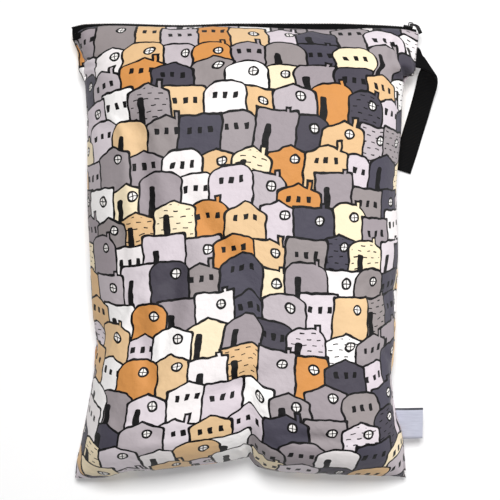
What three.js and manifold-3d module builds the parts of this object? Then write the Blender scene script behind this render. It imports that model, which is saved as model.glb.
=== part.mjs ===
// Cloth wet bag, stuffed and lying on its back, zipped shut, with its wrist strap laid down beside it.
// Millimetres. X runs across the bag, Y from the bottom seam to the zipper, Z up from the surface it lies on.
// The origin is the middle of the face that it rests on.
import * as THREE from "three";
import { mergeVertices } from "three/addons/utils/BufferGeometryUtils.js";
import Module from "manifold-3d";

const wasm = await Module();
wasm.setup();

// Sizes of the stuffed bag.
const bagWidth = 330;
const bagLength = 419.5;
const frontRise = 93;
const seamRise = 37;
const zipperRise = 25;
const zipperStandOut = 5.4;
const backDrop = 56;
const settleBand = 5;
const wedgeLength = 78;
const bottomRound = 44;
const sideFullness = 5.5;
const sideRoundness = 0.7;

// Cloth and the gap that sewn pieces keep.
const clothWall = 1.2;
const seamGap = 0.3;

// Zipper: tapes, coil and the blunt nose that they make between the panels.
const tapeWall = 0.9;
const tapeLap = 8;
const noseHalf = 8;
const noseHalfEnd = 5;
const noseTaper = 16;
const noseDepth = 4;
const coilWidth = 4.8;
const coilDepth = 2.4;
const coilChamfer = 0.7;

// Slider and pull.
const sliderFromEnd = 9.4;
const sliderLength = 8.6;
const sliderWidth = 8.4;
const plateWall = 0.9;
const neckLength = 1.3;
const neckWidth = 2.4;
const lowerPlateWidth = 4.4;
const bridgeWall = 0.9;
const joinDepth = 0.1;
const bridgeWidth = 1.8;
const pullWidth = 5.2;
const pullWall = 1.6;
const pullGripWall = 3;
const pullStraight = 1.8;
const pullBendRadius = 6;
const pullBendAngle = 65;
const pullEnd = 5.2;
const eyeLength = 3.4;
const eyeWidth = 2.8;
const pullClearance = 0.3;

// Wrist strap: one length of webbing folded double, both ends in the right side seam.
const webbingWidth = 19;
const webbingWall = 1.4;
const webbingSlit = 0.3;
const strapUp = 0.9455;
const strapTuck = 3;

// Side label: a satin ribbon folded double, both ends in the right side seam.
const labelWidth = 29;
const labelWall = 0.6;
const labelSlit = 0.4;
const labelReach = 20;
const labelDroop = 5;
const labelUp = 0.1243;
const labelTuck = 2.4;

// Fineness of the panel grids.
const panelColumns = 22;
const panelRows = 27;
const closestLines = 4;
const openingRamp = 5;

const clamp01 = (value) => Math.min(1, Math.max(0, value));
const mix = (a, b, share) => a + (b - a) * share;
const smooth = (share) => clamp01(share) ** 2 * (3 - 2 * clamp01(share));

// Side seams as the bag lies. up: share of the length from the bottom corner.
// left, right: share of the width from the middle line. rise: share of seamRise.
const sideRows = [
  { up: 0.0, left: 0.476, right: 0.461, rise: 0.36 },
  { up: 0.034, left: 0.4715, right: 0.4585, rise: 0.45 },
  { up: 0.095, left: 0.4558, right: 0.4515, rise: 0.68 },
  { up: 0.176, left: 0.436, right: 0.431, rise: 0.9 },
  { up: 0.264, left: 0.421, right: 0.4225, rise: 1.0 },
  { up: 0.32, left: 0.415, right: 0.425, rise: 1.0 },
  { up: 0.397, left: 0.423, right: 0.425, rise: 0.97 },
  { up: 0.508, left: 0.4306, right: 0.4345, rise: 1.0 },
  { up: 0.641, left: 0.437, right: 0.431, rise: 1.0 },
  { up: 0.786, left: 0.437, right: 0.444, rise: 0.95 },
  { up: 0.872, left: 0.44, right: 0.448, rise: 0.86 },
  { up: 0.894, left: 0.449, right: 0.4565, rise: 0.82 },
  { up: 0.914, left: 0.4595, right: 0.483, rise: 0.78 },
  { up: 0.947, left: 0.4645, right: 0.487, rise: 0.73 },
  { up: 0.972, left: 0.479, right: 0.491, rise: 0.68 },
  { up: 0.985, left: 0.486, right: 0.4925, rise: 0.66 },
  { up: 1.0, left: 0.487, right: 0.494, rise: 0.64 },
];

// Bottom seam. across: share of the way from the left to the right corner. lift: share of the length.
// rise: share of seamRise.
const bottomRows = [
  { across: 0.0, lift: 0.001, rise: 0.36 },
  { across: 0.084, lift: 0.0036, rise: 0.5 },
  { across: 0.162, lift: 0.0155, rise: 0.64 },
  { across: 0.256, lift: 0.0215, rise: 0.74 },
  { across: 0.353, lift: 0.032, rise: 0.8 },
  { across: 0.449, lift: 0.0425, rise: 0.84 },
  { across: 0.523, lift: 0.0535, rise: 0.86 },
  { across: 0.555, lift: 0.033, rise: 0.82 },
  { across: 0.594, lift: 0.023, rise: 0.8 },
  { across: 0.652, lift: 0.0174, rise: 0.77 },
  { across: 0.76, lift: 0.013, rise: 0.7 },
  { across: 0.869, lift: 0.0105, rise: 0.56 },
  { across: 0.938, lift: 0.006, rise: 0.44 },
  { across: 1.0, lift: 0.003, rise: 0.36 },
];

// Zipper line. across as above. drop: how far the coil's tip lies below the highest stretch, share of the
// length. front, back: how far the panels' edges stand back from the tip, share of noseDepth.
const zipperRows = [
  { across: 0.0, drop: 0.0085, front: 1.6, back: 1.3 },
  { across: 0.045, drop: 0.0012, front: 1.2, back: 0.9 },
  { across: 0.12, drop: 0.0, front: 0.75, back: 1.1 },
  { across: 0.32, drop: 0.0035, front: 0.65, back: 1.3 },
  { across: 0.47, drop: 0.0, front: 0.85, back: 1.1 },
  { across: 0.75, drop: 0.0, front: 1.6, back: 0.6 },
  { across: 0.88, drop: 0.003, front: 1.0, back: 1.0 },
  { across: 0.955, drop: 0.0065, front: 0.9, back: 0.9 },
  { across: 1.0, drop: 0.0135, front: 0.9, back: 0.9 },
];

// Folds and dents of the front. across, up: where the middle lies. angle: of the long way, from +X.
// length, width: shares of the bag's width. depth: share of frontRise, negative for a bulge.
const frontFolds = [
  { name: "right crease", across: 0.925, up: 0.905, angle: 104, length: 0.07, width: 0.03, depth: 0.05 },
  { name: "left tuck", across: 0.075, up: 0.912, angle: 4, length: 0.07, width: 0.013, depth: 0.04 },
  { name: "left bulge", across: 0.05, up: 0.882, angle: 60, length: 0.05, width: 0.03, depth: -0.03 },
  { name: "left dent", across: 0.165, up: 0.295, angle: 97, length: 0.17, width: 0.04, depth: 0.085 },
  { name: "left hollow", across: 0.2, up: 0.47, angle: 80, length: 0.2, width: 0.09, depth: 0.05 },
  { name: "cross fold", across: 0.72, up: 0.085, angle: 2, length: 0.13, width: 0.026, depth: 0.06 },
  { name: "middle fold", across: 0.545, up: 0.03, angle: 100, length: 0.08, width: 0.022, depth: 0.07 },
  { name: "waist fold", across: 0.93, up: 0.42, angle: 84, length: 0.22, width: 0.028, depth: 0.04 },
  { name: "middle swell", across: 0.6, up: 0.55, angle: 60, length: 0.4, width: 0.22, depth: -0.035 },
  { name: "upper dip", across: 0.42, up: 0.8, angle: 8, length: 0.3, width: 0.07, depth: 0.03 },
];

// A smooth curve through one column of a table.
function columnAt(rows, keyName, columnName, at) {
  const last = rows.length - 1;
  let i = 0;
  while (i < last - 1 && at > rows[i + 1][keyName]) i += 1;
  const slopeBetween = (a, b) =>
    (rows[b][columnName] - rows[a][columnName]) / (rows[b][keyName] - rows[a][keyName]);
  const here = rows[i];
  const next = rows[i + 1];
  const chord = slopeBetween(i, i + 1);
  const before = i > 0 ? slopeBetween(i - 1, i) : chord;
  const after = i + 1 < last ? slopeBetween(i + 1, i + 2) : chord;
  const slopeHere = before * chord > 0 ? (2 * before * chord) / (before + chord) : 0;
  const slopeNext = after * chord > 0 ? (2 * after * chord) / (after + chord) : 0;
  const span = next[keyName] - here[keyName];
  const share = clamp01((at - here[keyName]) / span);
  const bend = share * share * (3 - 2 * share);
  return (
    mix(here[columnName], next[columnName], bend) +
    span * slopeHere * share * (1 - share) ** 2 -
    span * slopeNext * share ** 2 * (1 - share)
  );
}

const sideAt = (column, up) => columnAt(sideRows, "up", column, up);
const bottomAt = (column, across) => columnAt(bottomRows, "across", column, across);
const zipperAt = (column, across) => columnAt(zipperRows, "across", column, across);

// The coil's outer edge stands out past the side seams' upper ends.
const bottomY = -(bagLength + zipperStandOut) / 2;
const tipY = bottomY + bagLength + zipperStandOut;

// Y of the coil's outer edge, and of a panel's top edge behind it.
const coilTip = (across) => tipY - zipperAt("drop", across) * bagLength;
const panelTop = (face, across) => coilTip(across) - zipperAt(face, across) * noseDepth;

// How far the two panels stand apart at the zipper's ends and at what is sewn into the right seam.
const strapHalf = webbingWall + webbingSlit / 2 + seamGap;
const labelHalf = labelWall + labelSlit / 2 + 1.5 * seamGap;

function besideSewnPiece(up, middle, width, half) {
  const outside = Math.abs(up - middle) * bagLength - width / 2 - seamGap;
  return mix(half, seamGap / 2, smooth(outside / openingRamp));
}

function seamOpening(side, up) {
  const atZipper = mix(noseHalfEnd, seamGap / 2, smooth(((1 - up) * bagLength) / noseTaper));
  if (side === "left") return atZipper;
  return Math.max(
    atZipper,
    besideSewnPiece(up, strapUp, webbingWidth, strapHalf),
    besideSewnPiece(up, labelUp, labelWidth, labelHalf),
  );
}

function noseHalfAt(across) {
  const fromEnd = Math.min(across, 1 - across) * bagWidth;
  return mix(noseHalfEnd, noseHalf, smooth(fromEnd / noseTaper));
}

// A patch stretched between four edge curves, one number at a time.
function patch(s, t, left, right, bottom, top) {
  const ruledAcross = mix(left(t), right(t), s);
  const ruledUp = mix(bottom(s), top(s), t);
  const corners = mix(mix(bottom(0), bottom(1), s), mix(top(0), top(1), s), t);
  return ruledAcross + ruledUp - corners;
}

const leftX = (t) => -sideAt("left", t) * bagWidth;
const rightX = (t) => sideAt("right", t) * bagWidth;
const bottomSeamY = (s) => bottomY + bottomAt("lift", s) * bagLength;

function planX(s, t) {
  const straight = (up) => (a) => mix(leftX(up), rightX(up), a);
  return patch(s, t, leftX, rightX, straight(0), straight(1));
}

function planY(face, s, t) {
  const top = (a) => panelTop(face, a);
  const edge = (end) => (up) => mix(bottomSeamY(end), top(end), up);
  return patch(s, t, edge(0), edge(1), bottomSeamY, top);
}

// Height of the seam line and the zipper edge, stretched over the plan.
function edgeHeight(face, s, t) {
  const way = face === "front" ? 1 : -1;
  const seam = (side) => (up) => sideAt("rise", up) * seamRise + way * seamOpening(side, up);
  const bottom = (a) => bottomAt("rise", a) * seamRise + (way * seamGap) / 2;
  const ends = sideAt("rise", 1) * seamRise;
  const top = (a) => mix(ends, zipperRise, smooth(Math.min(a, 1 - a) * 4)) + way * noseHalfAt(a);
  return patch(s, t, seam("left"), seam("right"), bottom, top);
}

// How full the bag is at a place: 0 on the seams, 1 where it is fullest.
function fullness(s, t) {
  const sideways = (1 - Math.abs(2 * s - 1) ** sideFullness) ** sideRoundness;
  const wedge = Math.sin((Math.PI / 2) * clamp01(((1 - t) * bagLength) / wedgeLength)) ** 0.75;
  const round = Math.sin((Math.PI / 2) * clamp01((t * bagLength) / bottomRound)) ** 0.5;
  return sideways * wedge * round;
}

function foldDepth(folds, x, y, rise) {
  let depth = 0;
  for (const fold of folds) {
    const turn = THREE.MathUtils.degToRad(fold.angle);
    const dx = x - planX(fold.across, fold.up);
    const dy = y - planY("front", fold.across, fold.up);
    const along = (dx * Math.cos(turn) + dy * Math.sin(turn)) / (fold.length * bagWidth);
    const over = (dy * Math.cos(turn) - dx * Math.sin(turn)) / (fold.width * bagWidth);
    depth += fold.depth * rise * Math.exp(-along * along - over * over);
  }
  return depth;
}

// Cloth that would go below the surface lies flat on it.
function settled(height) {
  if (height >= settleBand) return height;
  if (height <= -settleBand) return 0;
  return (height + settleBand) ** 2 / (4 * settleBand);
}

function panelPoint(face, s, t) {
  const x = planX(s, t);
  const y = planY(face, s, t);
  const edge = edgeHeight(face, s, t);
  const full = fullness(s, t);
  if (face === "back") return new THREE.Vector3(x, y, settled(edge - backDrop * full));
  const folded = foldDepth(frontFolds, x, y, frontRise) * smooth(full / 0.3);
  return new THREE.Vector3(x, y, edge + (frontRise - edge) * full - folded);
}

// Outward normal of a panel.
function panelNormal(face, s, t) {
  const step = 0.0004;
  const s0 = Math.max(0, s - step);
  const s1 = Math.min(1, s + step);
  const t0 = Math.max(0, t - step);
  const t1 = Math.min(1, t + step);
  const acrossWay = panelPoint(face, s1, t).sub(panelPoint(face, s0, t));
  const upWay = panelPoint(face, s, t1).sub(panelPoint(face, s, t0));
  const normal = acrossWay.cross(upWay).normalize();
  return face === "front" ? normal : normal.negate();
}

const insidePoint = (face, s, t, depth) =>
  panelPoint(face, s, t).addScaledVector(panelNormal(face, s, t), -depth);

// Stations of the grid: closer together towards the edges, with a line wherever something is sewn in.
function stations(count, crowding, length, fixed) {
  const keep = [0, 1, ...fixed];
  const clear = (value) => keep.every((other) => Math.abs(other - value) * length > closestLines);
  for (let i = 1; i < count; i += 1) {
    const even = i / count;
    const crowded = (1 - Math.cos(Math.PI * even)) / 2;
    const value = mix(even, crowded, crowding);
    if (clear(value)) keep.push(value);
  }
  return keep.sort((a, b) => a - b);
}

const edgesOf = (middle, width) =>
  [-1, 1].flatMap((way) =>
    [seamGap, openingRamp + seamGap].map((out) => middle + (way * (width / 2 + out)) / bagLength),
  );

// The tapes end just inside the panels' side rims.
const tapeInset = clothWall + seamGap;
const tapeEnds = [tapeInset / bagWidth, 1 - tapeInset / bagWidth];
const columns = stations(panelColumns, 0.55, bagWidth, tapeEnds);
const lapStations = [1 - tapeLap / bagLength, 1 - tapeLap / 2 / bagLength];
const rows = stations(panelRows, 0.5, bagLength, [
  ...edgesOf(strapUp, webbingWidth),
  ...edgesOf(labelUp, labelWidth),
  ...lapStations,
]);

// A closed wall between two grids of points with the same rows and columns.
function wallBetween(outer, inner, facesUp) {
  const height = outer.length;
  const width = outer[0].length;
  const positions = [...outer.flat(), ...inner.flat()].flatMap((p) => [p.x, p.y, p.z]);
  const at = (layer, r, c) => layer * height * width + r * width + c;
  const index = [];
  const quad = (a, b, c, d) => index.push(a, b, c, a, c, d);
  for (let r = 0; r + 1 < height; r += 1) {
    for (let c = 0; c + 1 < width; c += 1) {
      quad(at(0, r, c), at(0, r, c + 1), at(0, r + 1, c + 1), at(0, r + 1, c));
      quad(at(1, r, c), at(1, r + 1, c), at(1, r + 1, c + 1), at(1, r, c + 1));
    }
    const end = width - 1;
    quad(at(0, r, 0), at(0, r + 1, 0), at(1, r + 1, 0), at(1, r, 0));
    quad(at(0, r + 1, end), at(0, r, end), at(1, r, end), at(1, r + 1, end));
  }
  const top = height - 1;
  for (let c = 0; c + 1 < width; c += 1) {
    quad(at(0, 0, c + 1), at(0, 0, c), at(1, 0, c), at(1, 0, c + 1));
    quad(at(0, top, c), at(0, top, c + 1), at(1, top, c + 1), at(1, top, c));
  }
  if (!facesUp) index.reverse();
  const geometry = new THREE.BufferGeometry();
  geometry.setAttribute("position", new THREE.Float32BufferAttribute(positions, 3));
  geometry.setIndex(index);
  return geometry;
}

function panelGeometry(face) {
  const outer = rows.map((t) => columns.map((s) => panelPoint(face, s, t)));
  const inner = rows.map((t) => columns.map((s) => innerPanelPoint(face, s, t)));
  return wallBetween(outer, inner, face === "front");
}

// On a seam the inner edge lies level with the outer one, so that the panels' rims meet flat.
function innerPanelPoint(face, s, t) {
  const onSide = s === 0 || s === 1;
  if (!onSide && t !== 0) return insidePoint(face, s, t, clothWall);
  const edge = panelPoint(face, s, t);
  const inward = new THREE.Vector3();
  if (onSide) inward.x = s === 0 ? clothWall : -clothWall;
  if (t === 0) inward.y = clothWall;
  if (t === 1) inward.y = -clothWall;
  return edge.add(inward);
}

// A zipper tape: lapped under its panel's edge, then round the nose to the coil.
function tapeGeometry(face) {
  const way = face === "front" ? 1 : -1;
  const tapeColumns = columns.slice(1, -1);
  const lapDepth = clothWall + seamGap;
  const noseSteps = 4;
  const intoBag = new THREE.Vector3(0, -1, 0);
  const outer = lapStations
    .concat(1)
    .sort((a, b) => a - b)
    .map((t) => tapeColumns.map((s) => insidePoint(face, s, t, lapDepth)));
  const inner = lapStations
    .concat(1)
    .sort((a, b) => a - b)
    .map((t) => tapeColumns.map((s) => insidePoint(face, s, t, lapDepth + tapeWall)));
  const noseLine = tapeColumns.map((s, column) => {
    const start = outer[outer.length - 1][column];
    const middle = coilMiddle(s);
    const besideCoil = middle.z + way * (coilWidth / 2 + seamGap);
    const end = new THREE.Vector3(start.x, middle.y + tapeWall / 2, besideCoil);
    const bend = new THREE.Vector3(start.x, mix(start.y, end.y, 0.3), middle.z + way * 0.65 * noseHalfAt(s));
    return new THREE.QuadraticBezierCurve3(start, bend, end);
  });
  for (let k = 1; k <= noseSteps; k += 1) {
    const share = k / noseSteps;
    outer.push(noseLine.map((curve) => curve.getPoint(share)));
    inner.push(
      noseLine.map((curve) => {
        const along = curve.getTangent(share);
        const inward = k < noseSteps ? new THREE.Vector3(0, way * along.z, -way * along.y) : intoBag;
        return curve.getPoint(share).addScaledVector(inward, tapeWall);
      }),
    );
  }
  return wallBetween(outer, inner, face === "front");
}

function zipperHeight(across) {
  return (edgeHeight("front", across, 1) + edgeHeight("back", across, 1)) / 2;
}

// Middle of the coil at a place along the zipper.
const coilMiddle = (across) =>
  new THREE.Vector3(planX(across, 1), coilTip(across) - coilDepth / 2, zipperHeight(across));

// A solid through closed sections with the same number of points, capped at both ends.
function loft(sections) {
  const count = sections[0].length;
  const positions = sections.flat().flatMap((p) => [p.x, p.y, p.z]);
  const index = [];
  for (let k = 0; k + 1 < sections.length; k += 1) {
    for (let i = 0; i < count; i += 1) {
      const j = (i + 1) % count;
      const a = k * count + i;
      const b = k * count + j;
      index.push(a, b, b + count, a, b + count, a + count);
    }
  }
  const last = (sections.length - 1) * count;
  for (let i = 1; i + 1 < count; i += 1) {
    index.push(0, i + 1, i);
    index.push(last, last + i, last + i + 1);
  }
  const geometry = new THREE.BufferGeometry();
  geometry.setAttribute("position", new THREE.Float32BufferAttribute(positions, 3));
  geometry.setIndex(index);
  return geometry;
}

const acrossAtX = (x) => clamp01((x - leftX(1)) / (rightX(1) - leftX(1)));
const sliderX = rightX(1) - sliderFromEnd;

// The coil runs straight under the slider and ends before the slider's neck.
const coilUnderSlider = [-sliderLength / 2, sliderLength / 2 - neckLength - 3 * seamGap].map((along) =>
  acrossAtX(sliderX + along),
);

function coilGeometry() {
  const halfWide = coilWidth / 2;
  const halfDeep = coilDepth / 2;
  const outline = [
    [-halfDeep, -halfWide + coilChamfer],
    [-halfDeep + coilChamfer, -halfWide],
    [halfDeep - coilChamfer, -halfWide],
    [halfDeep, -halfWide + coilChamfer],
    [halfDeep, halfWide - coilChamfer],
    [halfDeep - coilChamfer, halfWide],
    [-halfDeep + coilChamfer, halfWide],
    [-halfDeep, halfWide - coilChamfer],
  ];
  const along = columns.slice(1, -1).filter((s) => s < coilUnderSlider[0] - 1 / bagWidth);
  along.push(...coilUnderSlider);
  return loft(
    along.map((s) => {
      const middle = coilMiddle(s);
      return outline.map(([deep, wide]) => new THREE.Vector3(middle.x, middle.y + deep, middle.z + wide));
    }),
  );
}

function solidFrom(geometry) {
  const bare = geometry.clone();
  bare.deleteAttribute("normal");
  bare.deleteAttribute("uv");
  const merged = mergeVertices(bare, 1e-4);
  return new wasm.Manifold(
    new wasm.Mesh({
      numProp: 3,
      vertProperties: merged.attributes.position.array,
      triVerts: new Uint32Array(merged.index.array),
    }),
  );
}

function geometryFrom(solid) {
  const mesh = solid.getMesh();
  const geometry = new THREE.BufferGeometry();
  geometry.setAttribute("position", new THREE.Float32BufferAttribute(mesh.vertProperties, 3));
  geometry.setIndex(new THREE.BufferAttribute(mesh.triVerts, 1));
  return geometry;
}

function box(x0, x1, y0, y1, z0, z1) {
  const geometry = new THREE.BoxGeometry(x1 - x0, y1 - y0, z1 - z0);
  geometry.translate((x0 + x1) / 2, (y0 + y1) / 2, (z0 + z1) / 2);
  return solidFrom(geometry);
}

// Slider. Its own frame: X along the zipper, Y out of the nose from the coil's outer edge, Z across the tapes.
const plateTop = seamGap + plateWall;
const pullTurn = Math.hypot(pullWall / 2, pullWall / 2) + pullClearance;
const pivotX = sliderLength / 2 - bridgeWall - pullTurn;
const pivotY = plateTop + pullTurn;
const bridgeTop = pivotY + pullTurn + bridgeWall;

function sliderGeometry() {
  const half = sliderLength / 2;
  const side = sliderWidth / 2;
  const lowerTop = -coilDepth - seamGap;
  const plates = [
    box(-half, half, seamGap, plateTop, -side, side),
    box(-half, half, -seamGap, seamGap + joinDepth, side - plateWall, side),
    box(-half, half, -seamGap, seamGap + joinDepth, -side, -side + plateWall),
    box(-half, half, lowerTop - plateWall, lowerTop, -lowerPlateWidth / 2, lowerPlateWidth / 2),
    box(half - neckLength, half, lowerTop - joinDepth, seamGap + joinDepth, -neckWidth / 2, neckWidth / 2),
  ];
  const foot = pullTurn + bridgeWall;
  const archOutline = new THREE.Shape();
  archOutline.moveTo(-foot, plateTop - joinDepth);
  archOutline.lineTo(foot, plateTop - joinDepth);
  archOutline.lineTo(foot, bridgeTop - bridgeWall);
  archOutline.lineTo(foot - bridgeWall, bridgeTop);
  archOutline.lineTo(-foot + bridgeWall, bridgeTop);
  archOutline.lineTo(-foot, bridgeTop - bridgeWall);
  const arch = new THREE.ExtrudeGeometry(archOutline, { depth: bridgeWidth, bevelEnabled: false });
  arch.translate(pivotX, 0, -bridgeWidth / 2);
  const holeTop = bridgeTop - bridgeWall;
  const hole = box(pivotX - pullTurn, pivotX + pullTurn, plateTop, holeTop, -bridgeWidth, bridgeWidth);
  const bridge = solidFrom(arch).subtract(hole);
  return geometryFrom(plates.reduce((joined, piece) => joined.add(piece), bridge));
}

// Pull, in a frame at its cross bar: thin eye, then a thicker grip bent down over the bag's corner.
function pullGeometry() {
  const bend = THREE.MathUtils.degToRad(pullBendAngle);
  const line = new THREE.CurvePath();
  const start = new THREE.Vector3(-pullWall / 2, 0, 0);
  const bendStart = new THREE.Vector3(pullStraight, 0, 0);
  const bendEnd = new THREE.Vector3(
    pullStraight + pullBendRadius * Math.sin(bend),
    -pullBendRadius * (1 - Math.cos(bend)),
    0,
  );
  const endWay = new THREE.Vector3(Math.cos(bend), -Math.sin(bend), 0);
  const tip = bendEnd.clone().addScaledVector(endWay, pullEnd);
  line.add(new THREE.LineCurve3(start, bendStart));
  const corner = bendStart.clone().add(new THREE.Vector3(pullBendRadius * Math.tan(bend / 2), 0, 0));
  line.add(new THREE.QuadraticBezierCurve3(bendStart, corner, bendEnd));
  line.add(new THREE.LineCurve3(bendEnd, tip));
  const shares = [0, 0.25, 0.36, 0.46, 0.56, 0.66, 0.8, 0.92, 0.97, 1];
  const sections = shares.map((share) => {
    const middle = line.getPoint(share);
    const along = line.getTangent(share);
    const wall = mix(pullWall, pullGripWall, smooth((share - 0.3) / 0.3));
    const normal = new THREE.Vector3(-along.y, along.x, 0).multiplyScalar(wall / 2);
    const roundEnd = Math.sqrt(1 - clamp01((share - 0.9) / 0.12) ** 2);
    const side = new THREE.Vector3(0, 0, (pullWidth / 2) * roundEnd);
    return [
      middle.clone().add(normal).add(side),
      middle.clone().sub(normal).add(side),
      middle.clone().sub(normal).sub(side),
      middle.clone().add(normal).sub(side),
    ];
  });
  const eye = box(pullWall / 2, pullWall / 2 + eyeLength, -pullWall, pullWall, -eyeWidth / 2, eyeWidth / 2);
  return geometryFrom(solidFrom(loft(sections)).subtract(eye));
}

// One layer of a ribbon through stations that give its two edges and the way its face looks.
function ribbonGeometry(layers) {
  return loft(
    layers.map(({ low, high, facing, wall }) => {
      const half = facing.clone().multiplyScalar(wall / 2);
      return [
        low.clone().add(half),
        low.clone().sub(half),
        high.clone().sub(half),
        high.clone().add(half),
      ];
    }),
  );
}

// A ribbon folded double: out along the stations, round its end and back below itself.
function doubledRibbon(path, wall, slit) {
  const apart = (wall + slit) / 2;
  const facings = path.map((station, k) => {
    const before = path[Math.max(0, k - 1)];
    const after = path[Math.min(path.length - 1, k + 1)];
    const along = after.low.clone().add(after.high).sub(before.low).sub(before.high);
    const across = station.high.clone().sub(station.low);
    return across.cross(along).normalize().negate();
  });
  const layer = (way) =>
    path.map((station, k) => ({
      low: station.low.clone().addScaledVector(facings[k], way * apart),
      high: station.high.clone().addScaledVector(facings[k], way * apart),
      facing: facings[k].clone().multiplyScalar(way),
      wall,
    }));
  const end = path[path.length - 1];
  const before = path[path.length - 2];
  const onward = end.low.clone().sub(before.low).normalize();
  const turn = {
    low: end.low.clone().addScaledVector(onward, apart),
    high: end.high.clone().addScaledVector(onward, apart),
    facing: onward,
    wall,
  };
  return ribbonGeometry([...layer(1), turn, ...layer(-1).reverse()]);
}

// Wrist strap's two edges. out: from the seam, shares of the webbing's width. down: along the bag from the
// strap's middle, shares of the webbing's width. rise: height, share of seamRise.
const strapRows = [
  { lowOut: 0.137, lowDown: 0.524, highOut: 0.137, highDown: -0.455, lowRise: 0.73, highRise: 0.73 },
  { lowOut: 0.63, lowDown: 0.69, highOut: 0.28, highDown: -0.137, lowRise: 0.66, highRise: 0.72 },
  { lowOut: 1.04, lowDown: 0.98, highOut: 0.4, highDown: 0.14, lowRise: 0.56, highRise: 0.68 },
  { lowOut: 1.11, lowDown: 1.21, highOut: 0.29, highDown: 0.475, lowRise: 0.45, highRise: 0.6 },
  { lowOut: 1.106, lowDown: 1.36, highOut: 0.18, highDown: 0.76, lowRise: 0.36, highRise: 0.5 },
  { lowOut: 0.96, lowDown: 1.9, highOut: 0.015, highDown: 1.55, lowRise: 0.2, highRise: 0.29 },
  { lowOut: 0.66, lowDown: 3.0, highOut: -0.294, highDown: 2.7, lowRise: 0.09, highRise: 0.12 },
  { lowOut: 0.4, lowDown: 3.85, highOut: -0.554, highDown: 3.55, lowRise: 0.056, highRise: 0.066 },
  { lowOut: 0.186, lowDown: 4.56, highOut: -0.768, highDown: 4.26, lowRise: 0.052, highRise: 0.052 },
  { lowOut: -0.15, lowDown: 5.6, highOut: -1.1, highDown: 5.3, lowRise: 0.052, highRise: 0.052 },
];

function strapGeometry() {
  const anchor = panelPoint("front", 1, strapUp);
  const edge = (out, down, rise) =>
    new THREE.Vector3(anchor.x + out * webbingWidth, anchor.y - down * webbingWidth, rise * seamRise);
  const path = strapRows.map((row) => ({
    low: edge(row.lowOut, row.lowDown, row.lowRise),
    high: edge(row.highOut, row.highDown, row.highRise),
  }));
  path.unshift(...sewnStart(strapUp, webbingWidth, strapTuck));
  return doubledRibbon(path, webbingWall, webbingSlit);
}

// The first stations of a ribbon that is sewn into the right seam: inside it, and at its outer edge.
function sewnStart(up, width, tuck) {
  const seamPoint = (at, out) => {
    const edge = panelPoint("front", 1, at);
    edge.x += out;
    edge.z = sideAt("rise", at) * seamRise;
    return edge;
  };
  const half = width / 2 / bagLength;
  return [-tuck, 0].map((out) => ({ low: seamPoint(up - half, out), high: seamPoint(up + half, out) }));
}

function labelGeometry() {
  const path = sewnStart(labelUp, labelWidth, labelTuck);
  const start = path[path.length - 1];
  const endX = rightX(labelUp) + labelReach;
  const steps = 5;
  for (let k = 1; k <= steps; k += 1) {
    const share = k / steps;
    const moved = (edge) =>
      new THREE.Vector3(mix(edge.x, endX, share), edge.y, edge.z - labelDroop * share * share);
    path.push({ low: moved(start.low), high: moved(start.high) });
  }
  return doubledRibbon(path, labelWall, labelSlit);
}

const printedCloth = () => new THREE.MeshStandardMaterial({ color: 0xcbb9ad, roughness: 0.8, metalness: 0 });
const blackTape = () => new THREE.MeshStandardMaterial({ color: 0x0d0d0f, roughness: 0.85, metalness: 0 });
const blackNylon = () => new THREE.MeshStandardMaterial({ color: 0x0a0a0b, roughness: 0.5, metalness: 0 });
const blackEnamel = () => new THREE.MeshStandardMaterial({ color: 0x111113, roughness: 0.35, metalness: 0.2 });
const satin = () => new THREE.MeshStandardMaterial({ color: 0xe6e2e8, roughness: 0.45, metalness: 0 });

const bag = new THREE.Group();

function addPiece(parent, name, geometry, material) {
  const mesh = new THREE.Mesh(geometry, material);
  mesh.name = name;
  parent.add(mesh);
}

addPiece(bag, "front_panel", panelGeometry("front"), printedCloth());
addPiece(bag, "back_panel", panelGeometry("back"), printedCloth());
addPiece(bag, "zipper_tape_front", tapeGeometry("front"), blackTape());
addPiece(bag, "zipper_tape_back", tapeGeometry("back"), blackTape());
addPiece(bag, "zipper_coil", coilGeometry(), blackNylon());

// The slider sits on the coil near the right end, and the pull turns on its bridge.
const [coilBack, coilFront] = coilUnderSlider.map(coilMiddle);
const coilWay = coilFront.clone().sub(coilBack);
const slider = new THREE.Group();
slider.position.copy(coilBack).addScaledVector(coilWay, (sliderX - coilBack.x) / coilWay.x);
slider.position.y += coilDepth / 2;
slider.rotation.z = Math.atan2(coilWay.y, coilWay.x);
addPiece(slider, "zipper_slider", sliderGeometry(), blackEnamel());
const pull = new THREE.Group();
pull.position.set(pivotX, pivotY, 0);
pull.rotation.z = -slider.rotation.z;
addPiece(pull, "zipper_pull", pullGeometry(), blackEnamel());
slider.add(pull);
bag.add(slider);

addPiece(bag, "wrist_strap", strapGeometry(), blackTape());
addPiece(bag, "side_label", labelGeometry(), satin());

export default bag;
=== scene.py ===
import math

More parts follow.
